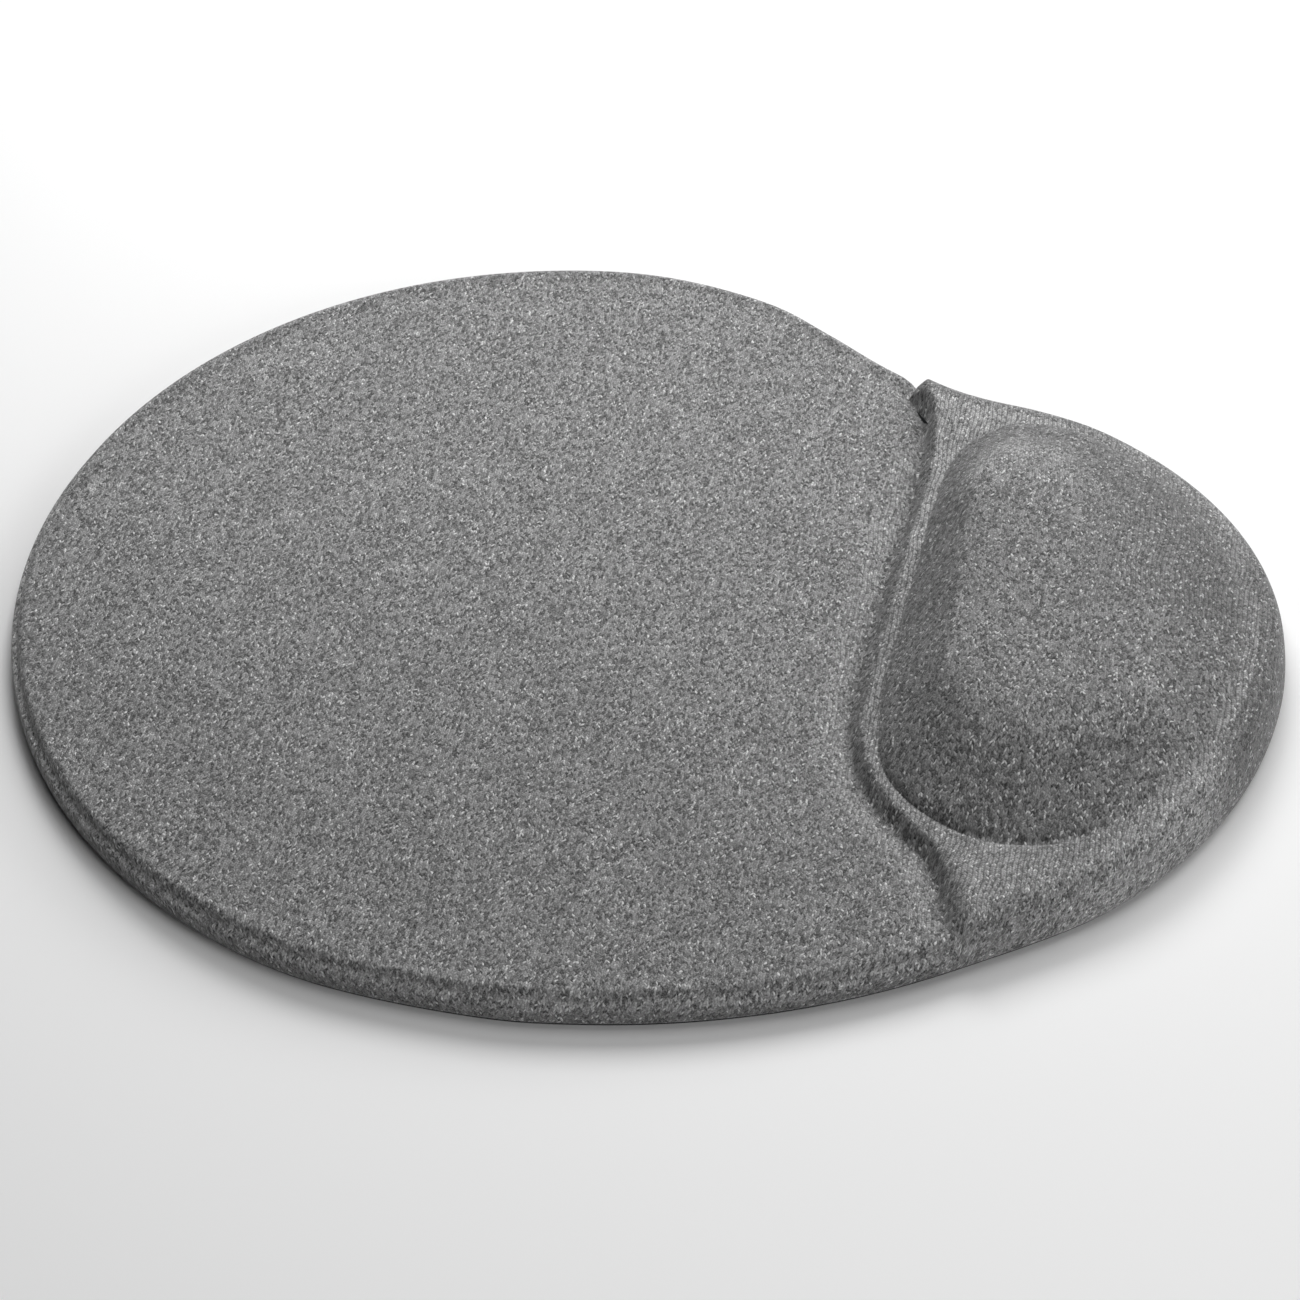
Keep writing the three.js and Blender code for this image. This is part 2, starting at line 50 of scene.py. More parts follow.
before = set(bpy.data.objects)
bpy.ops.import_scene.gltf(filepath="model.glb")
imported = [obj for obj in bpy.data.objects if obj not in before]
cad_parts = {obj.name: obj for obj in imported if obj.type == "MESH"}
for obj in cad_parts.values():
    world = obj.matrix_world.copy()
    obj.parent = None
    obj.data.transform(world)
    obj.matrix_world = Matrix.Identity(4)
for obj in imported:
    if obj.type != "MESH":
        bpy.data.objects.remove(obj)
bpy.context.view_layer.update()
MM = 0.001

# ---- Plan, mm ---------------------------------------------------------------------------------
PAD_CENTRE, PAD_RADII = (-18.5, 0.0), (111.5, 112.4)
LOBE_CENTRE, LOBE_REACH = (41.0, 6.0), 89.0
LOBE_FRONT_DEPTH, LOBE_REAR_DEPTH = 95.0, 75.0
BRIDGE_CENTRE, BRIDGE_RADII = (-16.0, 47.6), (160.0, 160.0)
NECK = [(54, 80.8), (38, 88.5), (24, 97.8), (9, 106.6)]
GROOVE = [
    (73.7, -80.2), (70.9, -72.3), (66.7, -61.8), (57.7, -52.4), (50.6, -42.6), (46.6, -30),
    (45.4, -17), (46.2, 5), (47, 28), (48.3, 48), (48.3, 61), (46.7, 72), (44.2, 82),
]
GEL_FOOT = [
    (51.5, -20), (51.9, 0), (52.7, 22), (53.9, 46), (57, 60.5), (66, 67.4), (78, 66), (92.3, 57.6),
    (106.6, 44.4), (116.8, 26), (121.2, 4), (118.6, -18), (110, -40), (97.2, -53.4), (81.7, -56.6),
    (66.2, -51.8), (55.2, -40.8),
]
GEL_TOP = [
    (65, -22), (63.4, 0), (62.6, 22), (62.4, 40), (69, 49), (82, 44.5), (94, 35), (103, 20),
    (105, -4), (104, -24), (92, -31.5), (74, -31.5),
]
GROOVE_BEND = 6.0  # length over which the groove bends to run straight through the side wall
# Where the rings of points on each side's top close.
PAD_HUB, WRIST_HUB = np.array((-5.0, -45.0)), np.array((82.0, 10.0))

# ---- Heights and walls, mm --------------------------------------------------------------------
PAD_TOP, GROOVE_FLOOR, GROOVE_MOUTH = 8.6, 6.8, 8.3
LIP_TOP, PLATEAU_TOP, SHOULDER_RISE, SHOULDER_SLOPE = 10.0, 12.1, 2.2, 0.3
SHOULDER_START, SHOULDER_LENGTH = (88.0, 60.0), 26.0  # where it starts in x, in front and behind
GEL_EDGE_TOP, GEL_CROWN = 21.1, 1.5
PAD_SLOPE = (2.6, 5.6)  # width of the slope down to the groove, at the rear and further forward
# Width of the groove's far wall, and what is added to it in the middle and at the front end.
GROOVE_WALL, GROOVE_WALL_MORE = 2.2, (1.1, 1.2)
CREASE_WIDTH = 0.8
HEM_WIDTH, HEM_FLOOR, LOWEST_WALL = 5.0, 1.05, 1.65
TOP_INSET = 6.0  # distance from the outline to the edge of the top
BASE_INSET, BASE_CORNER = 1.2, 0.15  # of the base sheet's rim, and of its two corners
GEL_DEPTH = 1.45  # of the gel below the cover's outer face, clear of cover and pouch film
# [inset from the outline, height] from the hem up: the mousing side has a ledge half way up.
PAD_WALL = [
    (HEM_WIDTH, HEM_FLOOR), (0.7, HEM_FLOOR), (0, 2.4), (0.1, 5.6), (1.2, 6.15), (1.7, 7.9),
    (2.9, PAD_TOP), (TOP_INSET, PAD_TOP),
]
WRIST_WALL = [
    (HEM_WIDTH, HEM_FLOOR), (0.7, HEM_FLOOR), (0, 2.4), (0.4, 6.6), (1.2, 9.2), (2.4, 11.1),
    (4, 11.95), (TOP_INSET, PLATEAU_TOP),
]
WALL_BLEND = 16.0  # length of outline over which one profile turns into the other

# ---- Rows of points in the meshes -------------------------------------------------------------
WALL_ROWS = [2, 5, 5, 5, 5, 5, 4]  # between neighbouring points of a wall profile
FLANK_ROWS, CROWN_ROWS = 32, 13  # up the cushion's side, and over its crown to the hub


# ---- Numbers and curves -----------------------------------------------------------------------
def ease(x):
    """0 below 0, 1 above 1, and 3x² − 2x³ between."""
    t = np.clip(x, 0.0, 1.0)
    return t * t * (3.0 - 2.0 * t)


def mix(a, b, t):
    """a + (b − a) t."""
    return a + (b - a) * t


def bump_of(x, centre, width):
    """exp(−((x − centre)/width)²)."""
    return np.exp(-(((x - centre) / width) ** 2))


def ramp(x, softness):
    """A climb from 0 at x = 0 to nearly 1 at x = 1, straight but for its two rounded corners.

    The difference of two soft kinks, (t + √(t² + s²))/2 at t = x and t = x − 1, less what it
    is at 0 and scaled to reach 1 far out.
    """

    def climb(t):
        return 0.5 * (1 + np.hypot(t, softness) - np.hypot(t - 1, softness))

    return (climb(np.maximum(x, 0)) - climb(0.0)) / (1 - climb(0.0))


def arc(centre, radii, start, end, count):
    """Points (cx + rx cos a, cy + ry sin a) at equal steps of a from start to end degrees."""
    a = np.radians(np.linspace(start, end, count))
    return np.column_stack((centre[0] + radii[0] * np.cos(a), centre[1] + radii[1] * np.sin(a)))


def catmull_rom(points, closed, per_span):
    """Centripetal Catmull-Rom curve: each span is a pyramid of linear blends over knots that are
    the square root of the points' spacing apart. per_span is the samples in each span."""
    p = np.asarray(points, float)
    if closed:
        p = np.vstack((p[-1:], p, p[:2]))
    else:
        p = np.vstack((2 * p[0] - p[1], p, 2 * p[-1] - p[-2]))
    gaps = np.linalg.norm(np.diff(p, axis=0), axis=1)
    knots = np.concatenate(([0.0], np.cumsum(np.sqrt(gaps))))
    counts = np.broadcast_to(per_span, len(p) - 3)
    i = np.repeat(np.arange(len(p) - 3), counts) + 1
    share = np.concatenate([np.arange(n) / n for n in counts])
    t = mix(knots[i], knots[i + 1], share)

    def blend(a, b, low, high):
        w = ((t - knots[i + low]) / (knots[i + high] - knots[i + low]))[:, None]
        return mix(a, b, w)

    a1, a2, a3 = (blend(p[i + k], p[i + k + 1], k, k + 1) for k in (-1, 0, 1))
    b1, b2 = blend(a1, a2, -1, 1), blend(a2, a3, 0, 2)
    curve = blend(b1, b2, 0, 1)
    return curve if closed else np.vstack((curve, p[-2]))


def lengths_along(line):
    """Running length at each point of a line."""
    return np.concatenate(([0.0], np.cumsum(np.linalg.norm(np.diff(line, axis=0), axis=1))))


def at_lengths(line, where):
    """Points of a line at the given running lengths."""
    run = lengths_along(line)
    return np.column_stack([np.interp(where, run, line[:, k]) for k in range(line.shape[1])])


def loop_of(points, count):
    """Closed curve through the points, at count equal steps, the first point repeated last."""
    dense = catmull_rom(points, True, 60)
    dense = np.vstack((dense, dense[:1]))
    return at_lengths(dense, np.linspace(0, lengths_along(dense)[-1], count + 1))


def distance_to(points, line):
    """Shortest distance from each point to a line of straight pieces."""
    flat = points.reshape(-1, 1, 2)
    a, d = line[:-1], np.diff(line, axis=0)
    along = np.clip(((flat - a) * d).sum(2) / (d * d).sum(1), 0.0, 1.0)
    nearest = np.linalg.norm(flat - a - along[..., None] * d, axis=2).min(1)
    return nearest.reshape(points.shape[:-1])


def matched(loop, target, softness):
    """For each point of a closed loop its partner on a closed target: the nearest one, with the
    order kept and the spacing evened out by a Gaussian of that many points."""
    gaps = np.linalg.norm(loop[:, None] - target[None, :-1], axis=2)
    share = np.unwrap(gaps.argmin(1) / (len(target) - 1) * 2 * np.pi) / (2 * np.pi)
    share = np.maximum.accumulate(share)
    steady = np.arange(len(loop)) / len(loop)
    waves = np.fft.rfft(share - steady)
    waves *= np.exp(-0.5 * (2 * np.pi * np.fft.rfftfreq(len(loop)) * softness) ** 2)
    share = (np.fft.irfft(waves, len(loop)) + steady) % 1.0
    return at_lengths(target, share * lengths_along(target)[-1])


# ---- The plan ---------------------------------------------------------------------------------
class Plan:
    """Outline, groove and gel lines, with the nodes that every surface of the pad starts from."""

    PAD_NODES, WRIST_NODES, GROOVE_NODES = 260, 170, 190

    def __init__(self):
        outline = self.whole_outline()
        groove = catmull_rom(GROOVE, False, 20)
        self.coarse_outline = outline[::8]
        self.front, self.rear = 0, self.WRIST_NODES
        self.place_nodes(outline, groove)
        self.top = self.outline + self.inward * TOP_INSET
        self.draw_groove(groove)
        self.gel_foot = loop_of(GEL_FOOT[::-1], 1200)
        self.gel_top = loop_of(GEL_TOP[::-1], 1200)

    @staticmethod
    def whole_outline():
        """The closed outline: a round mousing area and a wrist lobe, joined by a long arc in
        front and by a shallow neck behind."""
        return loop_of(
            np.vstack((
                arc(BRIDGE_CENTRE, BRIDGE_RADII, -88, -54, 6),
                arc(LOBE_CENTRE, (LOBE_REACH, LOBE_FRONT_DEPTH), -48, -12, 4),
                arc(LOBE_CENTRE, (LOBE_REACH, LOBE_REAR_DEPTH), 0, 70, 6),
                NECK,
                arc(PAD_CENTRE, PAD_RADII, 90, 255, 12),
            )),
            2400,
        )

    def place_nodes(self, outline, groove):
        """Nodes round the outline from the groove's front end: their places, the way inwards
        from each, and its share of the wrist side's profile."""
        slope = np.roll(outline[:-1], -1, 0) - np.roll(outline[:-1], 1, 0)
        slope = np.vstack((slope, slope[:1]))
        slope /= np.linalg.norm(slope, axis=1)[:, None]
        run = lengths_along(outline)
        girth = run[-1]
        front, rear = (
            run[np.linalg.norm(outline - end, axis=1).argmin()] for end in (groove[0], groove[-1])
        )
        where = np.concatenate((
            np.linspace(front, rear, self.WRIST_NODES + 1),
            np.linspace(rear, front + girth, self.PAD_NODES + 1)[1:-1],
        ))
        wrapped = where % girth
        self.outline = at_lengths(outline, wrapped)
        slope = np.column_stack([np.interp(wrapped, run, slope[:, k]) for k in (0, 1)])
        slope /= np.linalg.norm(slope, axis=1)[:, None]
        self.inward = np.column_stack((-slope[:, 1], slope[:, 0]))
        past_front = np.minimum(where - front, girth + front - where)
        on_wrist = np.minimum(where - front, rear - where)
        self.wristness = ease(0.5 + on_wrist / WALL_BLEND)
        tail = where > rear
        self.wristness[tail] = ease(0.5 - np.minimum(where - rear, past_front)[tail] / WALL_BLEND)

    def draw_groove(self, groove):
        """The groove between the two top edges, at even steps, and the same line run straight
        on through the side wall at both ends."""
        sides = (self.front, self.rear)
        ends = self.top[list(sides)]
        low, high = ends[0, 1] + GROOVE_BEND, ends[1, 1] - GROOVE_BEND
        clear = (groove[:, 1] > low) & (groove[:, 1] < high)
        middle = catmull_rom(np.vstack((ends[:1], groove[clear][::10], ends[1:])), False, 20)
        reach = lengths_along(middle)[-1]
        self.groove = at_lengths(middle, np.linspace(0, reach, self.GROOVE_NODES + 1))
        through = [self.outline[side] - self.inward[side] * TOP_INSET for side in sides]
        self.groove_line = np.vstack((through[0], middle[:-1:3], ends[1], through[1]))

    def pad_loop(self):
        """Edge of the mousing side's top: rear to front round the outline, then up the groove."""
        round_outline = np.vstack((self.top[self.rear:], self.top[:1]))
        return np.vstack((round_outline, self.groove[1:-1]))

    def wrist_loop(self):
        """Edge of the wrist side's top: front to rear round the outline, then down the groove."""
        return np.vstack((self.top[: self.rear + 1], self.groove[-2:0:-1]))


PLAN = Plan()


# ---- Heights of the cover's outer face, mm ----------------------------------------------------
def groove_distance(place):
    """Distance in plan from the narrow flat bottom of the groove."""
    return np.maximum(distance_to(place, PLAN.groove_line) - 0.05, 0)


def outline_distance(place):
    """Distance in plan from the outline."""
    return distance_to(place, PLAN.coarse_outline)


def groove_floor(place):
    """The groove's bottom, which comes up where it opens through the front wall."""
    mouth = mix(GROOVE_MOUTH, GROOVE_FLOOR, ease(place[..., 1] / 40))
    return mix(mouth, GROOVE_FLOOR, ease((outline_distance(place) - 2) / 8))


def pad_height(place):
    """Flat at the mousing height, with a straight slope down into the groove that is wider along
    the front and middle than at the rear."""
    width = mix(*PAD_SLOPE, ease((54 - place[..., 1]) / 12))
    return mix(groove_floor(place), PAD_TOP, ramp(groove_distance(place) / width, 0.16))


def shoulder_height(place):
    """The ground that the cushion stands on: a low lip along the groove, a plateau towards the
    outline, and on the far side a higher shoulder that slopes on up to the cushion."""
    x, y = place[..., 0], place[..., 1]
    inset = outline_distance(place)
    near = mix(PLATEAU_TOP, LIP_TOP, ease((inset - 8) / 16))
    start = mix(*SHOULDER_START, ease((y + 10) / 50))
    rise = SHOULDER_RISE + SHOULDER_SLOPE * np.clip(inset - 5, -1, 6)
    return mix(near, PLATEAU_TOP + rise, ease((x - start) / SHOULDER_LENGTH))


def plateau_height(place):
    """The ground's height, cut by the groove's far wall, which is steepest at the groove's bend
    and its rear end."""
    y = place[..., 1]
    middle, front = GROOVE_WALL_MORE
    width = GROOVE_WALL + middle * ease((y + 31) / 14) * ease((58 - y) / 14)
    width += front * ease((-60 - y) / 10)
    climb = ramp(groove_distance(place) / width, 0.12)
    return mix(groove_floor(place), shoulder_height(place), climb)


def gel_height(place, climb, crown):
    """The cushion: a straight climb from foot (0) to top edge (1) with a rounded upper corner,
    sharper on the side towards the pad, plus a crown that grows as 1 − (1 − c)²."""
    round_over = mix(0.1, 0.34, ease((place[..., 0] - 60) / 34))

    def below(x):
        return 0.5 * (x + 1 - np.hypot(x - 1, round_over))

    share = (below(climb) - below(0.0)) / (1 - below(0.0))
    return mix(shoulder_height(place), GEL_EDGE_TOP, share) + GEL_CROWN * (1 - (1 - crown) ** 2)


# ---- Grids of points: columns round the edge, rows inwards ------------------------------------
def wall_grid():
    """Side wall: each column is the profile curve from the hem over the belly to the top edge,
    blended between the two sides' profiles and lowered where the groove runs through it."""
    rows = np.array(WALL_ROWS)
    low = catmull_rom(PAD_WALL, False, rows)
    high = catmull_rom(WRIST_WALL, False, rows)
    side = PLAN.wristness[:, None, None]
    profile = mix(low[None], high[None], side)
    inset, height = profile[..., 0], profile[..., 1]
    place = PLAN.outline[:, None] + PLAN.inward[:, None] * inset[..., None]
    on_wrist = np.arange(len(place)) <= PLAN.rear
    top_at = np.where(on_wrist[:, None], plateau_height(place), pad_height(place))
    nominal = mix(PAD_TOP, PLATEAU_TOP, PLAN.wristness)[:, None]
    row = np.arange(height.shape[1])[None]
    scaled = np.maximum(height * top_at / nominal, LOWEST_WALL)
    height = mix(height, scaled, ease((row - rows[0]) / rows[1]))
    height[:, -1] = top_at[:, -1]
    return np.dstack((place, height))


def pad_grid():
    """Mousing side: rings that step in from its edge towards a hub, close together first."""
    edge = PLAN.pad_loop()
    reach = np.linalg.norm(PAD_HUB - edge, axis=1)[:, None]
    near = np.concatenate((np.arange(0, 9.01, 0.5), [10.5, 13, 18, 26]))[None]
    share = np.hstack((near / reach, np.ones_like(reach) * [0.6, 0.8, 1.0]))
    place = mix(edge[:, None], PAD_HUB, share[..., None])
    return np.dstack((place, pad_height(place)))


def crease_depth(place):
    """Depth of the crease at the cushion's foot: most at the front, none on the far side."""
    x, y = place[..., 0], place[..., 1]
    end = mix(106, 70, ease((y + 10) / 50))
    return mix(0.15, 0.5, ease((-30 - y) / 20)) * ease((end - x) / 16)


def wrist_grid():
    """Wrist side: over the lip and plateau to the cushion's foot, up its side to a little past
    its top edge, and over its crown to a hub."""
    last_climb, crown_share = 1.1, 0.3
    edge = PLAN.wrist_loop()
    foot = matched(edge, PLAN.gel_foot, 7)
    top = matched(foot, PLAN.gel_top, 7)
    reach = np.linalg.norm(foot - edge, axis=1)[:, None]
    fit = np.minimum(reach / 5.2, 1.0)
    near, far = np.arange(0, 3.61, 0.36)[None] * fit, np.arange(1.05, 0, -0.35)[None] * fit
    between = mix(near[:, -1:], reach - far[:, :1], np.linspace(0, 1, 6)[None, 1:-1])
    share = np.hstack((near, between, reach - far)) / reach
    flat = mix(edge[:, None], foot[:, None], share[..., None])
    to_foot = (1 - share) * reach
    lip = plateau_height(flat) - crease_depth(flat) * bump_of(to_foot, 0, CREASE_WIDTH)
    climb = np.linspace(0, last_climb, FLANK_ROWS)[None]
    side = mix(foot[:, None], top[:, None], climb[..., None])
    from_foot = climb * np.linalg.norm(top - foot, axis=1)[:, None]
    crease = crease_depth(side) * bump_of(from_foot, 0, CREASE_WIDTH)
    flank = gel_height(side, climb, crown_share * climb) - crease
    rim = side[:, -1:]
    over = np.linspace(0, 1, CROWN_ROWS + 1)[None, 1:]
    crown = mix(rim, WRIST_HUB, over[..., None])
    well_past_edge = 9.0
    dome = gel_height(crown, well_past_edge, mix(crown_share * last_climb, 1.0, over))
    place = np.concatenate((flat, side, crown), axis=1)
    return np.dstack((place, np.hstack((lip, flank, dome))))


# ---- Meshes -----------------------------------------------------------------------------------
def grid_faces(columns, rows, first=0):
    """Corner numbers of the quads of a grid whose last column meets its first, facing out."""
    i, k = np.meshgrid(np.arange(columns), np.arange(rows - 1), indexing="ij")
    j = (i + 1) % columns
    quads = np.stack((i * rows + k, j * rows + k, j * rows + k + 1, i * rows + k + 1), axis=-1)
    return quads.reshape(-1, 4) + first


def add_object(name, data):
    """A new object that holds the data, in the scene."""
    thing = bpy.data.objects.new(name, data)
    bpy.context.collection.objects.link(thing)
    return thing


def new_piece(name, points, faces, uv=None, **values):
    """A mesh object from points in mm: neighbouring grids are welded and poles closed. Each of
    values becomes an attribute with one number for each point."""
    mesh = bpy.data.meshes.new(name)
    mesh.from_pydata(points * MM, [], faces)
    if uv is not None:
        corners = np.empty(len(mesh.loops), np.int32)
        mesh.loops.foreach_get("vertex_index", corners)
        layer = mesh.uv_layers.new(name="cloth")
        layer.data.foreach_set("uv", (uv[corners] * MM).astype(np.float32).ravel())
    for label, numbers in values.items():
        attribute = mesh.attributes.new(label, "FLOAT", "POINT")
        attribute.data.foreach_set("value", numbers.astype(np.float32))
    shape = bmesh.new()
    shape.from_mesh(mesh)
    bmesh.ops.remove_doubles(shape, verts=shape.verts, dist=1e-6)
    shape.to_mesh(mesh)
    shape.free()
    mesh.shade_smooth()
    return add_object(name, mesh)


# ---- Stretch of the cloth, and the light and shade painted on it ------------------------------
def wall_cloth(wall):
    """Stretch of the cloth on the side wall, drawn taut over the upper edge of the mousing side
    and over the wrist side's shoulder, and the light and shade painted on it: lighter over that
    edge and that shoulder, partly from the stretch and partly a painted highlight, a painted
    highlight along the ledge, painted shade where the wall turns under, painted shade on the far
    right and painted light low at the front right."""
    inset = np.linalg.norm(wall[..., :2] - PLAN.outline[:, None], axis=2)
    height = wall[..., 2]
    on_wrist = PLAN.wristness[:, None]
    bevel = bump_of(inset, 2.7, 0.5) * (height > 6.6)
    ledge = bump_of(height, 6.0, 0.5) * (inset < 2)
    shoulder = bump_of(inset, 4.4, 1.3) * (height > 9.6)
    stretch = mix(0.5 * bevel, 0.8 * shoulder, on_wrist)
    under = ease((5.6 - height) / 3.4)
    x, y = wall[..., 0], wall[..., 1]
    # Painted shade on the far right of the wall, and painted light low on its front right.
    painted_right_light_and_shade = 0.45 * ease((x - 116) / 8) - 0.25 * ease((x - 84) / 16) * ease((-22 - y) / 16)
    # Painted highlights over the upper edge, the ledge and the shoulder; painted shade where the
    # wall turns under.
    pad_painted_light = 1 + 0.45 * bevel + 0.6 * ledge - 0.36 * under
    return stretch, mix(pad_painted_light, 1.04 + 0.25 * shoulder - painted_right_light_and_shade, on_wrist)


def pad_cloth(pad):
    """The mousing side: stretched where it bends down to the groove, and the light and shade
    painted on it: painted light that grows towards the rear, a lighter band on that bend, partly
    from the stretch and partly a painted highlight, and painted shade at the groove's bottom."""
    y = pad[..., 1]
    away = groove_distance(pad[..., :2])
    pull = bump_of(away, 3.8, 2.4) * ease((64 - y) / 12)
    groove_bottom_shade = 0.2 * (1 - ease(away / 1.5))
    # Painted light towards the rear and on the bend, painted shade at the groove's bottom.
    return 0.8 * pull, 1 + 0.2 * ease((y + 75) / 120) + 0.42 * pull - groove_bottom_shade


def wrist_cloth(wrist):
    """The wrist side: stretched over lip, plateau and the cushion's rear-left shoulder, and drawn
    into ribs where the far side runs out into the wall. The light and shade painted on it: lighter
    over lip and plateau and more so towards the rear, partly from the stretch and partly painted
    light; painted highlights on the rear-left shoulder and along the far rim; painted shade on the
    cushion's sides, in the crease at its front foot and down in the groove."""
    x, y = wrist[..., 0], wrist[..., 1]
    rows = np.arange(wrist.shape[1])[None]
    foot_row = wrist.shape[1] - FLANK_ROWS - CROWN_ROWS
    flat = 1 - ease((rows - foot_row + 2) / 3)
    drawn = 0.75 * ease((x - 84) / 14) * ease((y + 4) / 16)
    bank = 1 - ease((groove_distance(wrist[..., :2]) - 2.2) / 1.2)
    far = ease((x - mix(92, 72, ease((y - 10) / 30))) / 12)
    shoulder = bump_of(rows, foot_row + 25, 9.0) * ease((y - 32) / 10) * (1 - ease((x - 76) / 12))
    rim = bump_of(outline_distance(wrist[..., :2]), 6.5, 2.5) * far * ease((24 - y) / 20)
    crease = bump_of(rows, foot_row, 2.2) * ease((-26 - y) / 12) * ease((104 - x) / 20)
    stretch = np.maximum(flat * (1 - bank), np.maximum(drawn, 0.5 * shoulder) * (1 - flat))
    side = (1 - flat) * (1 - ease((rows - foot_row - 20) / 12))
    # Lighter over lip and plateau, partly from the stretch and partly painted light.
    stretch_and_painted_light = flat * mix(0.38, 0.9, ease(y / 40)) * (1 - bank) * (1 - 0.9 * far)
    # Painted shade down in the groove, on the cushion's sides and in its front crease.
    painted_shade = 0.2 * bank + 0.2 * side + 0.3 * crease
    # Painted highlights on the rear-left shoulder and the far rim.
    return stretch, 1 + stretch_and_painted_light - painted_shade + 0.55 * shoulder + 0.25 * rim


def cover_surface():
    """The cover's outer face as points, quads, cloth coordinates, stretch, and the light and shade
    painted on the cloth.

    Cloth coordinates are the plan itself on top, and on the wall they run on outwards from the
    top edge by the length of wall passed, as a skin laid flat would.
    """
    wall, pad, wrist = grids = [wall_grid(), pad_grid(), wrist_grid()]
    passed = np.linalg.norm(np.diff(wall[:, ::-1], axis=1), axis=2).cumsum(1)
    passed = np.hstack((np.zeros((len(wall), 1)), passed))[:, ::-1]
    wall_uv = PLAN.top[:, None] - PLAN.inward[:, None] * passed[..., None]
    uvs = [wall_uv, pad[..., :2], wrist[..., :2]]
    cloths = [wall_cloth(wall), pad_cloth(pad), wrist_cloth(wrist)]
    firsts = np.cumsum([0] + [g.shape[0] * g.shape[1] for g in grids[:-1]])
    faces = [grid_faces(*g.shape[:2], first) for g, first in zip(grids, firsts)]

    def joined(arrays, width):
        return np.concatenate([a.reshape(-1, width) for a in arrays])

    stretch, tone = (joined(values, 1).ravel() for values in zip(*cloths))
    return joined(grids, 3), np.concatenate(faces), joined(uvs, 2), stretch, tone


def closed_block(surface, floor):
    """Points and quads of a closed body: a grid's surface, a wall down from its first row, and a
    flat underside drawn to a point under its hub."""
    edge = surface[:, :1].copy()
    edge[..., 2] = floor
    centre = np.broadcast_to(surface[:1, -1:], edge.shape).copy()
    centre[..., 2] = floor
    grid = np.concatenate((centre, edge, surface), axis=1)
    return grid.reshape(-1, 3), grid_faces(*grid.shape[:2])


def base_surface(thickness, pitch, depth):
    """The base sheet: a disc of the outline's shape with a small round at its rim. Its underside
    is a lattice of dimples, depth · (cos 2πx/p · cos 2πy/p + 1)/2, which fades out at the rim.

    Rows go from the hub out over the upper face, round the rim and back in to the hub below.
    """
    rim = PLAN.outline + PLAN.inward * BASE_INSET
    hub = np.zeros(2)
    upper, under = 8, 76
    share = np.concatenate((np.linspace(0, 1, upper)[::-1], [0.0], np.linspace(0, 1, under)))
    lift = np.concatenate((np.full(upper, thickness), [thickness / 2], np.zeros(under)))
    tuck = np.zeros(len(share))
    tuck[[upper - 1, upper + 1]] = BASE_CORNER
    place = mix(rim[:, None], hub, share[None, :, None])
    place += PLAN.inward[:, None] * tuck[None, :, None]
    within = np.linalg.norm(rim - hub, axis=1)[:, None] * share[None]
    wave = np.cos(2 * np.pi * place[..., 0] / pitch) * np.cos(2 * np.pi * place[..., 1] / pitch)
    dimple = depth * (wave + 1) / 2 * ease((within - 3) / 3)
    below = np.arange(len(share))[None] > upper + 1
    height = lift[None] + np.where(below, dimple, 0)
    grid = np.dstack((place, height))[:, ::-1]
    return grid.reshape(-1, 3), grid_faces(*grid.shape[:2])


# ---- Shader building --------------------------------------------------------------------------
class Tree:
    """Short hands for adding and joining shader nodes."""

    def __init__(self, tree):
        self.tree = tree
        self.column = 0

    def add(self, kind, *values, **settings):
        """A new node. values go to its inputs in order, or are (name, value) pairs."""
        node = self.tree.nodes.new("ShaderNode" + kind)
        node.location = (self.column * 40, -(self.column % 7) * 120)
        self.column += 1
        for key, value in settings.items():
            setattr(node, key, value)
        for i, value in enumerate(values):
            key = i
            if isinstance(value, tuple) and len(value) == 2 and isinstance(value[0], str):
                key, value = value
            self.put(node.inputs[key], value)
        return node

    def put(self, socket, value):
        """Joins an output to the socket, or sets its value."""
        if isinstance(value, bpy.types.NodeSocket):
            self.tree.links.new(value, socket)
        else:
            socket.default_value = value

    def math(self, operation, *values):
        """Result of a sum on numbers."""
        return self.add("Math", *values, operation=operation).outputs[0]

    def vector(self, operation, *values):
        """Result of a sum on vectors."""
        return self.add("VectorMath", *values, operation=operation).outputs["Vector"]

    def scaled(self, vector, scale):
        """A vector or colour times a number."""
        return self.vector("SCALE", vector, ("Scale", scale))

    def noise(self, vector, scale, detail=2.0, roughness=0.5):
        """A noise texture, whose scale is in cells for each unit of the vector."""
        return self.add(
            "TexNoise", ("Vector", vector), ("Scale", scale), ("Detail", detail),
            ("Roughness", roughness),
        )

    def remap(self, value, low, high, to_low, to_high):
        """value moved in a straight line from low…high to to_low…to_high, and held there."""
        return self.add("MapRange", value, low, high, to_low, to_high).outputs[0]


def new_group(name, inputs, outputs):
    """An empty node group with named sockets, each given as (kind, name, default)."""
    group = bpy.data.node_groups.new(name, "ShaderNodeTree")
    for direction, sockets in (("INPUT", inputs), ("OUTPUT", outputs)):
        for kind, label, *default in sockets:
            socket = group.interface.new_socket(
                name=label, in_out=direction, socket_type="NodeSocket" + kind
            )
            if default:
                socket.default_value = default[0]
    ends = [group.nodes.new(kind) for kind in ("NodeGroupInput", "NodeGroupOutput")]
    return group, Tree(group), *ends


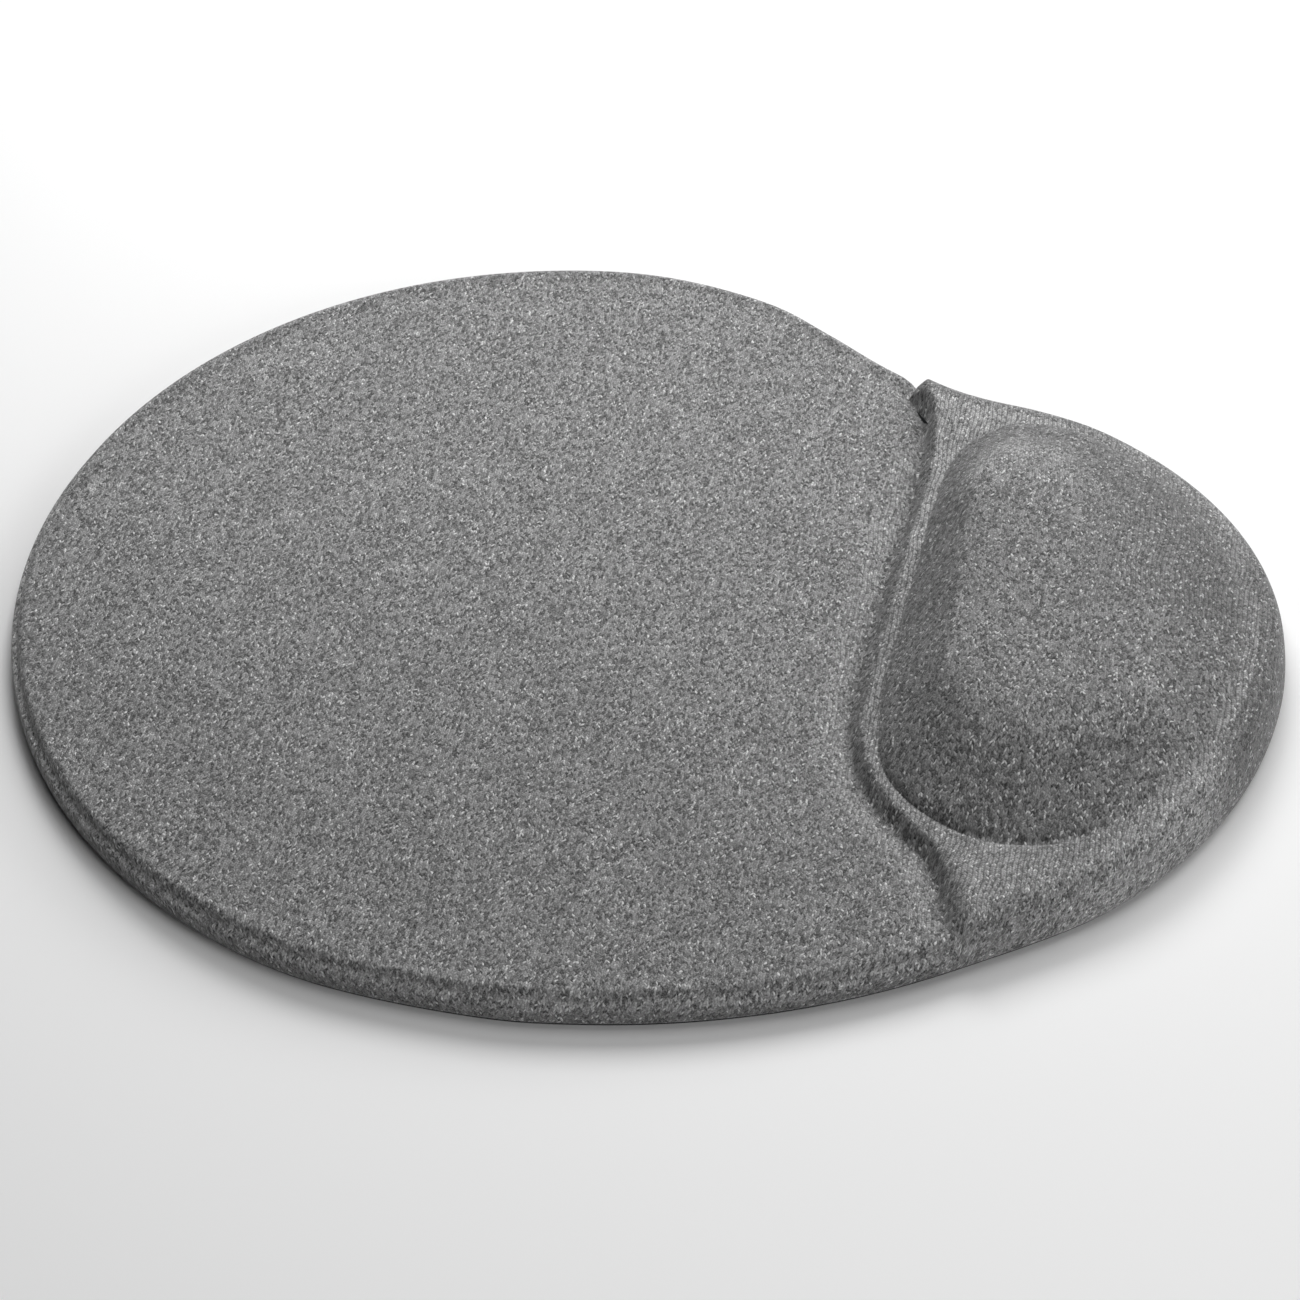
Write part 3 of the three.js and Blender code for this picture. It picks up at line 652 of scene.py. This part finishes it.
def knit_group():
    """Heathered jersey. Legs of V stitches, each of its own shade, wander a little; a few catch
    the light. Where the cloth is stretched its wales open into ribs."""
    group, t, given, out = new_group(
        "Heathered Knit",
        [
            ("Vector", "Cloth"), ("Float", "Stretch", 0.0), ("Float", "Tone", 1.0),
            ("Color", "Yarn", (0.2, 0.2, 0.2, 1)),
            ("Float", "Wale", 1.0), ("Float", "Course", 0.8), ("Float", "Heather", 0.6),
            ("Float", "Glints", 0.03),
        ],
        [("Color", "Color"), ("Float", "Height"), ("Float", "Roughness")],
    )
    cloth, stretch = given.outputs["Cloth"], given.outputs["Stretch"]
    millimetres = t.scaled(cloth, 1000.0)
    slow = t.noise(millimetres, 0.09, 1.0).outputs["Color"]
    quick = t.noise(millimetres, 0.85, 2.0).outputs["Color"]
    calm = t.remap(stretch, 0.0, 1.0, 0.85, 0.25)
    half = (0.5, 0.5, 0.5)
    wander = t.vector(
        "ADD",
        t.scaled(t.vector("SUBTRACT", slow, half), 2.4),
        t.scaled(t.vector("SUBTRACT", quick, half), calm),
    )
    place = t.add("SeparateXYZ", t.vector("ADD", millimetres, wander))
    u = t.math("DIVIDE", place.outputs[0], given.outputs["Wale"])
    v = t.math("DIVIDE", place.outputs[1], given.outputs["Course"])
    across = t.math("MULTIPLY", u, 2.0)
    bend = t.math("ABSOLUTE", t.math("SUBTRACT", t.math("FRACT", u), 0.5))
    along = t.math("ADD", v, t.math("MULTIPLY", bend, 1.6))
    cell = t.add("CombineXYZ", t.math("FLOOR", across), t.math("FLOOR", along), 0.0).outputs[0]
    random = t.add("TexWhiteNoise", cell, noise_dimensions="3D")
    split = t.add("SeparateColor", random.outputs["Color"])
    leg = t.math("SINE", t.math("MULTIPLY", t.math("FRACT", across), math.pi))
    length = t.math("SINE", t.math("MULTIPLY", t.math("FRACT", along), math.pi))
    body = t.math("POWER", t.math("MULTIPLY", leg, length), 0.5)
    wale = t.math("SINE", t.math("MULTIPLY", t.math("FRACT", u), math.pi))
    fibre = t.noise(millimetres, 2.4, 2.0, 0.6).outputs[0]
    cloud = t.noise(millimetres, 0.05, 2.0).outputs[0]
    spread = t.math("MULTIPLY", given.outputs["Heather"], t.remap(stretch, 0, 1, 1.0, 0.75))
    shade = t.math("MULTIPLY", t.math("SUBTRACT", split.outputs[0], 0.5), spread)
    shade = t.math("ADD", shade, t.remap(fibre, 0.3, 0.7, 0.55, 1.45))
    shade = t.math("MULTIPLY", shade, t.remap(body, 0, 1, 0.62, 1.12))
    ribs = t.remap(wale, 0.0, 1.0, t.remap(stretch, 0, 1, 1.0, 0.55), 1.0)
    shade = t.math("MULTIPLY", shade, ribs)
    # Painted light and shade from the cover's attribute lighten and darken the yarn.
    shade = t.math("MULTIPLY", shade, given.outputs["Tone"])
    shade = t.math("MULTIPLY", shade, t.remap(cloud, 0.3, 0.7, 0.96, 1.04))
    rare = t.math("LESS_THAN", split.outputs[1], given.outputs["Glints"])
    glint = t.math("MULTIPLY", rare, t.math("MULTIPLY", body, 1.7))
    shade = t.math("MAXIMUM", t.math("ADD", shade, glint), 0.1)
    t.put(out.inputs["Color"], t.scaled(given.outputs["Yarn"], shade))
    height = t.math("ADD", t.math("MULTIPLY", body, 0.7), t.math("MULTIPLY", wale, 0.3))
    height = t.math("ADD", height, t.math("MULTIPLY", fibre, 0.5))
    t.put(out.inputs["Height"], height)
    t.put(out.inputs["Roughness"], t.remap(split.outputs[1], 0, 1, 0.7, 0.95))
    return group


def grain_group():
    """Fine moulded or foamed grain: a cell pattern over a soft cloud, with colour that follows."""
    group, t, given, out = new_group(
        "Fine Grain",
        [
            ("Vector", "Place"), ("Color", "Colour", (0.1, 0.1, 0.1, 1)), ("Float", "Size", 0.6),
            ("Float", "Variation", 0.2), ("Float", "Roughness", 0.6),
        ],
        [("Color", "Color"), ("Float", "Height"), ("Float", "Roughness")],
    )
    millimetres = t.scaled(given.outputs["Place"], 1000.0)
    scale = t.math("DIVIDE", 1.0, given.outputs["Size"])
    cells = t.add("TexVoronoi", ("Vector", millimetres), ("Scale", scale)).outputs["Distance"]
    cloud = t.noise(millimetres, 0.06, 3.0, 0.6).outputs[0]
    grain = t.noise(millimetres, t.math("MULTIPLY", scale, 1.7), 3.0, 0.6).outputs[0]
    sway = t.math("ADD", t.math("SUBTRACT", cloud, 0.5), t.math("SUBTRACT", grain, 0.5))
    shade = t.math("ADD", 1.0, t.math("MULTIPLY", sway, given.outputs["Variation"]))
    t.put(out.inputs["Color"], t.scaled(given.outputs["Colour"], shade))
    t.put(out.inputs["Height"], t.math("ADD", cells, grain))
    rough = t.math("ADD", given.outputs["Roughness"], t.math("MULTIPLY", sway, 0.2))
    t.put(out.inputs["Roughness"], rough)
    return group


def surface_material(name, **sockets):
    """A material with a Principled shader whose named sockets are set, and its tree."""
    material = bpy.data.materials.new(name)
    material.use_nodes = True
    shader = material.node_tree.nodes["Principled BSDF"]
    for label, value in sockets.items():
        shader.inputs[label.replace("_", " ")].default_value = value
    return material, Tree(material.node_tree), shader


def use_group(tree, group, shader, values, distance, strength):
    """Places a group in a material and feeds the shader's colour, roughness and normal from it."""
    node = tree.add("Group", node_tree=group)
    for label, value in values.items():
        tree.put(node.inputs[label], value)
    bump = tree.add(
        "Bump", ("Height", node.outputs["Height"]), ("Distance", distance), ("Strength", strength)
    )
    tree.put(shader.inputs["Base Color"], node.outputs["Color"])
    tree.put(shader.inputs["Roughness"], node.outputs["Roughness"])
    tree.put(shader.inputs["Normal"], bump.outputs["Normal"])


def knit_material(settings):
    """The cover's grey stretch jersey."""
    material, tree, shader = surface_material(
        "Grey Jersey", Sheen_Weight=0.25, Sheen_Roughness=0.45, Specular_IOR_Level=0.25
    )
    cloth = tree.add("UVMap", uv_map="cloth").outputs["UV"]
    stretch = tree.add("Attribute", attribute_name="stretch").outputs["Fac"]
    # The light and shade painted on the cover, read from its attribute.
    tone = tree.add("Attribute", attribute_name="tone").outputs["Fac"]
    values = {
        "Cloth": cloth, "Stretch": stretch, "Tone": tone, "Yarn": (*settings.yarn_colour, 1.0),
        "Wale": settings.wale / MM, "Course": settings.course / MM,
        "Heather": settings.heather, "Glints": settings.glints,
    }
    use_group(tree, knit_group(), shader, values, 0.00016, 0.6)
    return material


def grain_material(name, colour, size, variation, roughness, depth, **sockets):
    """Foam, rubber, film or plastic with a fine grain of its own, all from one group."""
    group = bpy.data.node_groups.get("Fine Grain") or grain_group()
    material, tree, shader = surface_material(name, **sockets)
    place = tree.add("TexCoord").outputs["Object"]
    values = {
        "Place": place, "Colour": (*colour, 1.0), "Size": size, "Variation": variation,
        "Roughness": roughness,
    }
    use_group(tree, group, shader, values, depth, 0.5)
    return material


# ---- Settings ---------------------------------------------------------------------------------
class CoverSettings(bpy.types.PropertyGroup):
    """Sizes and colours of the cover."""

    thickness: bpy.props.FloatProperty(
        name="Thickness", description="Thickness of the stretched jersey", default=0.6 * MM,
        min=0.2 * MM, max=1.5 * MM, unit="LENGTH", precision=4,
    )
    wale: bpy.props.FloatProperty(
        name="Wale Pitch", description="Width of one column of stitches", default=1.0 * MM,
        min=0.4 * MM, max=2 * MM, unit="LENGTH", precision=5,
    )
    course: bpy.props.FloatProperty(
        name="Course Pitch", description="Height of one row of stitches", default=0.6 * MM,
        min=0.3 * MM, max=2 * MM, unit="LENGTH", precision=5,
    )
    yarn_colour: bpy.props.FloatVectorProperty(
        name="Yarn Colour", description="Mean colour of the heathered yarn", size=3,
        default=(0.2, 0.2, 0.2), min=0.0, max=1.0, subtype="COLOR",
    )
    heather: bpy.props.FloatProperty(
        name="Heather", description="How much the shade changes from stitch to stitch",
        default=1.3, min=0.0, max=2.0,
    )
    glints: bpy.props.FloatProperty(
        name="Glints", description="Share of the stitches that catch the light", default=0.07,
        min=0.0, max=0.2, subtype="FACTOR",
    )


class InsideSettings(bpy.types.PropertyGroup):
    """Sizes and colours of what the cover holds, and of the base."""

    gel_colour: bpy.props.FloatVectorProperty(
        name="Gel Colour", description="Colour of the gel cushion", size=3,
        default=(0.35, 0.46, 0.55), min=0.0, max=1.0, subtype="COLOR",
    )
    foam_colour: bpy.props.FloatVectorProperty(
        name="Foam Colour", description="Colour of the foam under the cover", size=3,
        default=(0.045, 0.047, 0.05), min=0.0, max=1.0, subtype="COLOR",
    )
    rubber_colour: bpy.props.FloatVectorProperty(
        name="Rubber Colour", description="Colour of the non-slip base", size=3,
        default=(0.014, 0.014, 0.015), min=0.0, max=1.0, subtype="COLOR",
    )
    dimple_pitch: bpy.props.FloatProperty(
        name="Dimple Pitch", description="Spacing of the dimples under the base",
        default=8 * MM, min=4 * MM, max=20 * MM, unit="LENGTH",
    )
    dimple_depth: bpy.props.FloatProperty(
        name="Dimple Depth", description="Depth of the dimples under the base",
        default=0.3 * MM, min=0.0, max=0.6 * MM, unit="LENGTH", precision=4,
    )


class StageSettings(bpy.types.PropertyGroup):
    """Floor, light and camera."""

    floor_colour: bpy.props.FloatVectorProperty(
        name="Floor Colour", description="Colour of the plain floor", size=3,
        default=(0.92, 0.92, 0.92), min=0.0, max=1.0, subtype="COLOR",
    )
    rear_light: bpy.props.FloatProperty(
        name="Rear Light", description="Power of the three panels behind and above", default=6.7,
        min=0.0, unit="POWER",
    )
    front_light: bpy.props.FloatProperty(
        name="Front Light", description="Power of the panel at the right in front", default=2.9,
        min=0.0, unit="POWER",
    )
    top_light: bpy.props.FloatProperty(
        name="Top Light", description="Power of the panel overhead", default=1.8, min=0.0,
        unit="POWER",
    )
    ambient: bpy.props.FloatProperty(
        name="Ambient", description="Strength of the even white light all round", default=0.0,
        min=0.0,
    )


# ---- Operators --------------------------------------------------------------------------------
def finish_piece(piece, material, body, nodes):
    """Gives a piece its material and its body, and hides the nodes that it stands for."""
    piece.data.materials.append(material)
    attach(piece, body)
    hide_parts(*nodes)


class MOUSEPAD_OT_base(bpy.types.Operator):
    """Makes the dimpled non-slip base sheet"""

    bl_idname = "mousepad.make_base"
    bl_label = "Base Sheet"

    def execute(self, context):
        settings = context.scene.mousepad_inside
        low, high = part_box("base_sheet")
        points, faces = base_surface(
            (high.z - low.z) / MM, settings.dimple_pitch / MM, settings.dimple_depth / MM
        )
        piece = new_piece("base_mat", points, faces)
        material = grain_material(
            "Base Rubber", settings.rubber_colour, 0.5, 0.35, 0.7, 0.0001, Specular_IOR_Level=0.4
        )
        finish_piece(piece, material, "root", ["base_sheet"])
        return {"FINISHED"}


class MOUSEPAD_OT_inside(bpy.types.Operator):
    """Gives the foam cores, plate and films their finishes"""

    bl_idname = "mousepad.make_inside"
    bl_label = "Cores And Films"

    def execute(self, context):
        settings = context.scene.mousepad_inside
        foam = grain_material(
            "Closed-Cell Foam", settings.foam_colour, 0.4, 0.5, 0.85, 0.0002,
            Specular_IOR_Level=0.2,
        )
        plate = grain_material(
            "Plate Plastic", (0.024, 0.025, 0.026), 0.3, 0.2, 0.5, 0.00003,
            Specular_IOR_Level=0.5,
        )
        film = grain_material(
            "Pouch Film", (0.62, 0.65, 0.67), 4.0, 0.1, 0.2, 0.0001,
            Specular_IOR_Level=0.5, Alpha=0.6,
        )
        bond = grain_material(
            "Adhesive Film", (0.6, 0.58, 0.5), 2.0, 0.2, 0.45, 0.0001, Specular_IOR_Level=0.5
        )
        finishes = {
            "pad_foam": foam, "wrist_carrier": foam, "tracking_plate": plate,
            "gel_pouch_top_film": film, "gel_pouch_bottom_film": film, "bonding_film": bond,
        }
        for node, material in finishes.items():
            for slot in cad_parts[node].material_slots:
                slot.material = material
        return {"FINISHED"}


class MOUSEPAD_OT_gel(bpy.types.Operator):
    """Makes the crowned gel cushion"""

    bl_idname = "mousepad.make_gel"
    bl_label = "Gel Cushion"

    def execute(self, context):
        settings = context.scene.mousepad_inside
        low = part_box("gel_core")[0]
        skipped = 4  # rows at the foot, where gel and cover part
        surface = wrist_grid()[:, skipped - FLANK_ROWS - CROWN_ROWS:]
        surface[..., 2] -= GEL_DEPTH
        points, faces = closed_block(surface, low.z / MM)
        piece = new_piece("gel_cushion", points, faces)
        material = grain_material(
            "Soft Gel", settings.gel_colour, 3.0, 0.12, 0.15, 0.0001,
            Specular_IOR_Level=0.5, Subsurface_Weight=0.2, Coat_Weight=0.3,
        )
        finish_piece(piece, material, "root", ["gel_core"])
        return {"FINISHED"}


class MOUSEPAD_OT_cover(bpy.types.Operator):
    """Makes the stretched jersey cover"""

    bl_idname = "mousepad.make_cover"
    bl_label = "Jersey Cover"

    def execute(self, context):
        settings = context.scene.mousepad_cover
        points, faces, cloth, stretch, tone = cover_surface()
        # The cover carries its stretch and its painted light and shade as attributes.
        piece = new_piece("jersey_cover", points, faces, cloth, stretch=stretch, tone=tone)
        shell = piece.modifiers.new("Thickness", "SOLIDIFY")
        shell.thickness, shell.offset = settings.thickness, -1.0
        finish_piece(piece, knit_material(settings), "root", ["fabric_cover"])
        return {"FINISHED"}


# Share of the rear light's power, place and size of its three panels.
REAR_LIGHTS = (
    (0.34, (0.25, 0.65, 0.55), 0.5),
    (0.3, (0.55, 0.55, 0.35), 0.4),
    (0.36, (-0.1, 0.4, 0.5), 0.3),
)
# The camera looks at a point near the middle of the pad, from in front and a little to the right.
CAMERA_AIM, CAMERA_DISTANCE, CAMERA_LENS = Vector((0.00176, -0.00533, 0.0016)), 0.9059, 122.7
CAMERA_AZIMUTH, CAMERA_ELEVATION = math.radians(10.7), math.radians(42.0)


def area_light(name, power, size, place):
    """A square area light at a place, aimed at the origin."""
    data = bpy.data.lights.new(name, "AREA")
    data.energy, data.size = power, size
    light = add_object(name, data)
    light.location = place
    light.rotation_euler = (-Vector(place)).to_track_quat("-Z", "Y").to_euler()


def plain_floor(colour):
    """A matt floor much larger than the pad."""
    bpy.ops.mesh.primitive_plane_add(size=12)
    floor = bpy.context.active_object
    floor.name = "floor"
    material = surface_material(
        "Floor Paint", Base_Color=(*colour, 1.0), Roughness=0.9, Specular_IOR_Level=0.1
    )[0]
    floor.data.materials.append(material)
    return floor


def even_light(strength):
    """A world of plain white light."""
    world = bpy.data.worlds.new("studio")
    world.use_nodes = True
    backdrop = world.node_tree.nodes["Background"]
    backdrop.inputs["Color"].default_value = (1, 1, 1, 1)
    backdrop.inputs["Strength"].default_value = strength
    return world


def aimed_camera():
    """The camera, at its distance from the point it looks at, by azimuth and elevation."""
    data = bpy.data.cameras.new("camera")
    data.sensor_width, data.lens = 36.0, CAMERA_LENS
    data.clip_start, data.clip_end = 0.01, 50.0
    level = math.cos(CAMERA_ELEVATION)
    back = Vector((
        math.sin(CAMERA_AZIMUTH) * level, -math.cos(CAMERA_AZIMUTH) * level,
        math.sin(CAMERA_ELEVATION),
    ))
    camera = add_object("camera", data)
    camera.location = CAMERA_AIM + back * CAMERA_DISTANCE
    camera.rotation_euler = (-back).to_track_quat("-Z", "Y").to_euler()
    return camera


class MOUSEPAD_OT_stage(bpy.types.Operator):
    """Makes the floor, the lights and the camera"""

    bl_idname = "mousepad.make_stage"
    bl_label = "Stage"

    def execute(self, context):
        settings = context.scene.mousepad_stage
        plain_floor(settings.floor_colour)
        context.scene.world = even_light(settings.ambient)
        for number, (share, place, size) in enumerate(REAR_LIGHTS):
            area_light(f"rear_light_{number + 1}", share * settings.rear_light, size, place)
        area_light("front_light", settings.front_light, 0.5, (0.6, -0.6, 0.35))
        area_light("top_light", settings.top_light, 0.6, (0, 0, 0.9))
        context.scene.view_settings.view_transform = "Standard"
        context.scene.camera = aimed_camera()
        return {"FINISHED"}


MAKERS = (
    MOUSEPAD_OT_base, MOUSEPAD_OT_inside, MOUSEPAD_OT_gel, MOUSEPAD_OT_cover, MOUSEPAD_OT_stage,
)


class MOUSEPAD_PT_panel(bpy.types.Panel):
    """Lists the makers and their settings"""

    bl_label = "Mouse Pad"
    bl_idname = "MOUSEPAD_PT_panel"
    bl_space_type = "VIEW_3D"
    bl_region_type = "UI"
    bl_category = "Mouse Pad"

    def draw(self, context):
        layout = self.layout
        for maker in MAKERS:
            layout.operator(maker.bl_idname)
        for group in ("mousepad_cover", "mousepad_inside", "mousepad_stage"):
            box = layout.box()
            settings = getattr(context.scene, group)
            for label in settings.__annotations__:
                box.prop(settings, label)


SETTINGS = {
    "mousepad_cover": CoverSettings, "mousepad_inside": InsideSettings,
    "mousepad_stage": StageSettings,
}
CLASSES = (*SETTINGS.values(), *MAKERS, MOUSEPAD_PT_panel)


def register():
    for cls in CLASSES:
        bpy.utils.register_class(cls)
    for label, group in SETTINGS.items():
        setattr(bpy.types.Scene, label, bpy.props.PointerProperty(type=group))


def unregister():
    for label in SETTINGS:
        delattr(bpy.types.Scene, label)
    for cls in reversed(CLASSES):
        bpy.utils.unregister_class(cls)


def main():
    register()
    for call in ("make_base", "make_inside", "make_gel", "make_cover", "make_stage"):
        getattr(bpy.ops.mousepad, call)()


if __name__ == "__main__":
    main()
